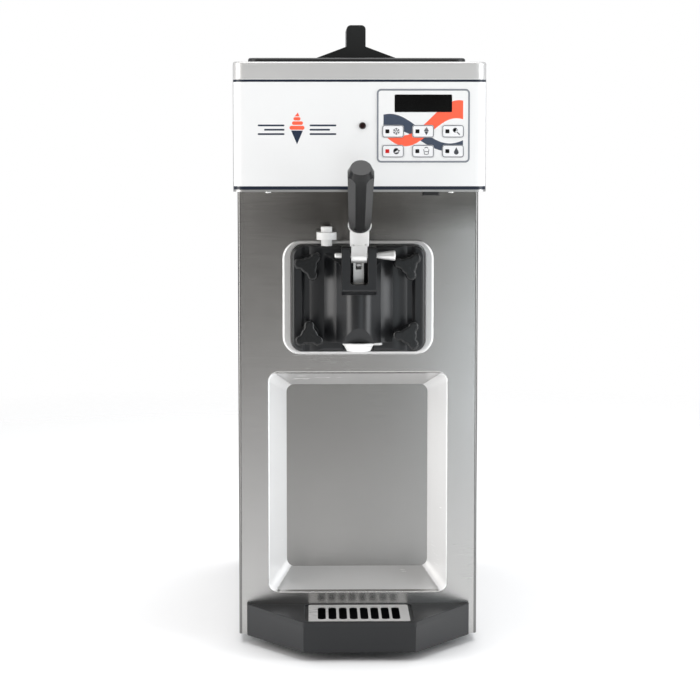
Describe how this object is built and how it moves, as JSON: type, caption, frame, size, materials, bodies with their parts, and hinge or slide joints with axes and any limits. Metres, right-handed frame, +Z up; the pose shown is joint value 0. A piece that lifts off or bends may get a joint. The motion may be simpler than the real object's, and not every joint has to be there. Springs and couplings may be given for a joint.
{
  "type": "soft serve ice cream maker",
  "caption": "Slim countertop soft-serve machine: draw lever, freezer door, top mix tank, keypad hood and drip tray.",
  "frame": {"origin": "centre of the whole machine's footprint, on the counter under the feet", "axes": "+Z up, -Y towards the dispensing front, +X to the right seen from the front"},
  "size_m": [0.324, 0.7669, 0.833],
  "materials": {
    "front_steel": "satin, vertical grain",
    "body_steel": "satin",
    "cover_steel": "satin, grain across",
    "hood_steel": "satin",
    "overlay_white": "printed polyester, satin",
    "keypad_film": "printed film",
    "key_white": "printed film",
    "window_black": "polished",
    "lamp_red": "clear, unlit",
    "switch_black": "satin",
    "gland_black": "satin",
    "lid_black": "fine texture",
    "tank_steel": "polished",
    "door_charcoal": "moulded, soft gloss",
    "knob_black": "moulded",
    "grip_black": "moulded, glossy",
    "lever_steel": "polished",
    "valve_steel": "satin",
    "white_acetal": "turned and moulded",
    "rubber_black": "matt",
    "tray_grey": "moulded, fine texture",
    "grid_steel": "pressed sheet",
    "frame_zinc": "zinc plated",
    "screw_steel": "polished",
    "board_green": "solder resist",
    "foam_yellow": "rigid foam",
    "cast_grey": "as cast",
    "shaft_steel": "ground",
    "motor_paint": "enamel",
    "compressor_paint": "enamel",
    "fan_plastic": "moulded",
    "copper": "drawn tube"
  },
  "bodies": {
    "root": {"front_panel": "front_steel", "side_panel_left": "body_steel", "side_panel_right": "body_steel", "rear_panel": "body_steel", "top_cover": "cover_steel", "hood_shell": "hood_steel", "hood_fascia": "overlay_white", "keypad": "keypad_film", "display_window": "window_black", "mix_low_lamp": "lamp_red", "power_switch_housing": "switch_black", "cord_gland": "gland_black", "hopper": "tank_steel", "freezing_cylinder": "tank_steel", "feet": "rubber_black", "shaft_seal": "rubber_black", "drive_belt": "rubber_black", "base_pan": "frame_zinc", "frame": "frame_zinc", "deck": "frame_zinc", "fan_shroud": "frame_zinc", "panel_screws": "screw_steel", "control_board": "board_green", "cylinder_insulation": "foam_yellow", "gearbox": "cast_grey", "condenser": "cast_grey", "drive_motor": "motor_paint", "compressor": "compressor_paint", "refrigerant_pipes": "copper"},
    "freezer_door": {"freezer_door": "door_charcoal", "door_gasket": "rubber_black", "front_bearing": "white_acetal"},
    "draw_valve": {"draw_valve": "valve_steel", "valve_orings": "rubber_black"},
    "draw_lever": {"draw_lever": "lever_steel", "draw_grip": "grip_black"},
    "pivot_pin": {"pivot_pin": "lever_steel"},
    "prime_plug": {"prime_plug": "white_acetal"},
    "nozzle": {"nozzle": "white_acetal"},
    "beater": {"beater": "tank_steel", "scraper_blades": "white_acetal", "drive_shaft": "shaft_steel"},
    "gearbox_pulley": {"gearbox_pulley": "cast_grey"},
    "motor_pulley": {"motor_pulley": "cast_grey"},
    "fan": {"fan_blades": "fan_plastic"},
    "hopper_lid": {"hopper_lid": "lid_black"},
    "feed_tube": {"feed_tube": "white_acetal"},
    "drip_tray": {"drip_tray": "tray_grey"},
    "drip_grid": {"drip_grid": "grid_steel"},
    "power_rocker": {"power_rocker": "switch_black"},
    "knob_upper_left": {"knob_upper_left": "knob_black"},
    "knob_lower_left": {"knob_lower_left": "knob_black"},
    "knob_upper_right": {"knob_upper_right": "knob_black"},
    "knob_lower_right": {"knob_lower_right": "knob_black"},
    "cool_button": {"cool_button": "key_white"},
    "serve_button": {"serve_button": "key_white"},
    "stir_button": {"stir_button": "key_white"},
    "reset_button": {"reset_button": "key_white"},
    "portion_button": {"portion_button": "key_white"},
    "clean_button": {"clean_button": "key_white"}
  },
  "joints": [
    {"name": "door_pull", "type": "slide", "parent": "root", "child": "freezer_door", "axis": [0, -1, 0], "range_m": [0, 0.09]},
    {"name": "lever_swing", "type": "hinge", "parent": "freezer_door", "child": "draw_lever", "pos_m": [0, -0.25755, 0.5271], "axis": [1, 0, 0], "range_deg": [0, 45]},
    {"name": "valve_lift", "type": "slide", "parent": "freezer_door", "child": "draw_valve", "axis": [0, 0, 1], "range_m": [0, 0.0232]},
    {"name": "pin_pull", "type": "slide", "parent": "freezer_door", "child": "pivot_pin", "axis": [1, 0, 0], "range_m": [0, 0.06]},
    {"name": "plug_lift", "type": "slide", "parent": "freezer_door", "child": "prime_plug", "axis": [0, 0, 1], "range_m": [0, 0.045]},
    {"name": "nozzle_twist", "type": "hinge", "parent": "freezer_door", "child": "nozzle", "pos_m": [0, -0.22855, 0.405], "axis": [0, 0, 1], "range_deg": [-60, 0]},
    {"name": "beater_spin", "type": "hinge", "parent": "root", "child": "beater", "pos_m": [0, -0.06455, 0.4674], "axis": [0, 1, 0], "continuous": true},
    {"name": "gearbox_pulley_spin", "type": "hinge", "parent": "root", "child": "gearbox_pulley", "pos_m": [0, 0.17045, 0.4674], "axis": [0, 1, 0], "continuous": true},
    {"name": "motor_pulley_spin", "type": "hinge", "parent": "root", "child": "motor_pulley", "pos_m": [0.07, 0.17045, 0.265], "axis": [0, 1, 0], "continuous": true},
    {"name": "fan_spin", "type": "hinge", "parent": "root", "child": "fan", "pos_m": [0, 0.24345, 0.19], "axis": [0, 1, 0], "continuous": true},
    {"name": "lid_lift", "type": "slide", "parent": "root", "child": "hopper_lid", "axis": [0, 0, 1], "range_m": [0, 0.15]},
    {"name": "feed_tube_turn", "type": "hinge", "parent": "root", "child": "feed_tube", "pos_m": [0, -0.01455, 0.64], "axis": [0, 0, 1], "range_deg": [0, 90]},
    {"name": "tray_pull", "type": "slide", "parent": "root", "child": "drip_tray", "axis": [0, -1, 0], "range_m": [0, 0.12]},
    {"name": "grid_lift", "type": "slide", "parent": "drip_tray", "child": "drip_grid", "axis": [0, 0, 1], "range_m": [0, 0.06]},
    {"name": "rocker_tip", "type": "hinge", "parent": "root", "child": "power_rocker", "pos_m": [0.092, -0.27655, 0.6135], "axis": [0, 1, 0], "range_deg": [0, 14]},
    {"name": "knob_upper_left_turn", "type": "hinge", "parent": "freezer_door", "child": "knob_upper_left", "pos_m": [-0.0649, -0.23955, 0.5133], "axis": [0, 1, 0], "continuous": true},
    {"name": "knob_lower_left_turn", "type": "hinge", "parent": "freezer_door", "child": "knob_lower_left", "pos_m": [-0.0649, -0.23955, 0.4215], "axis": [0, 1, 0], "continuous": true},
    {"name": "knob_upper_right_turn", "type": "hinge", "parent": "freezer_door", "child": "knob_upper_right", "pos_m": [0.0649, -0.23955, 0.5133], "axis": [0, 1, 0], "continuous": true},
    {"name": "knob_lower_right_turn", "type": "hinge", "parent": "freezer_door", "child": "knob_lower_right", "pos_m": [0.0649, -0.23955, 0.4215], "axis": [0, 1, 0], "continuous": true},
    {"name": "cool_button_press", "type": "slide", "parent": "root", "child": "cool_button", "axis": [0, 1, 0], "range_m": [0, 0.0005], "stiffness_N_per_m": 2500, "springref_m": -0.0002},
    {"name": "serve_button_press", "type": "slide", "parent": "root", "child": "serve_button", "axis": [0, 1, 0], "range_m": [0, 0.0005], "stiffness_N_per_m": 2500, "springref_m": -0.0002},
    {"name": "stir_button_press", "type": "slide", "parent": "root", "child": "stir_button", "axis": [0, 1, 0], "range_m": [0, 0.0005], "stiffness_N_per_m": 2500, "springref_m": -0.0002},
    {"name": "reset_button_press", "type": "slide", "parent": "root", "child": "reset_button", "axis": [0, 1, 0], "range_m": [0, 0.0005], "stiffness_N_per_m": 2500, "springref_m": -0.0002},
    {"name": "portion_button_press", "type": "slide", "parent": "root", "child": "portion_button", "axis": [0, 1, 0], "range_m": [0, 0.0005], "stiffness_N_per_m": 2500, "springref_m": -0.0002},
    {"name": "clean_button_press", "type": "slide", "parent": "root", "child": "clean_button", "axis": [0, 1, 0], "range_m": [0, 0.0005], "stiffness_N_per_m": 2500, "springref_m": -0.0002}
  ],
  "couplings": [
    {"joint": "valve_lift", "follows": "lever_swing", "m_per_rad": 0.02817},
    {"joint": "gearbox_pulley_spin", "follows": "beater_spin", "ratio": 7},
    {"joint": "motor_pulley_spin", "follows": "beater_spin", "ratio": 13.125}
  ]
}
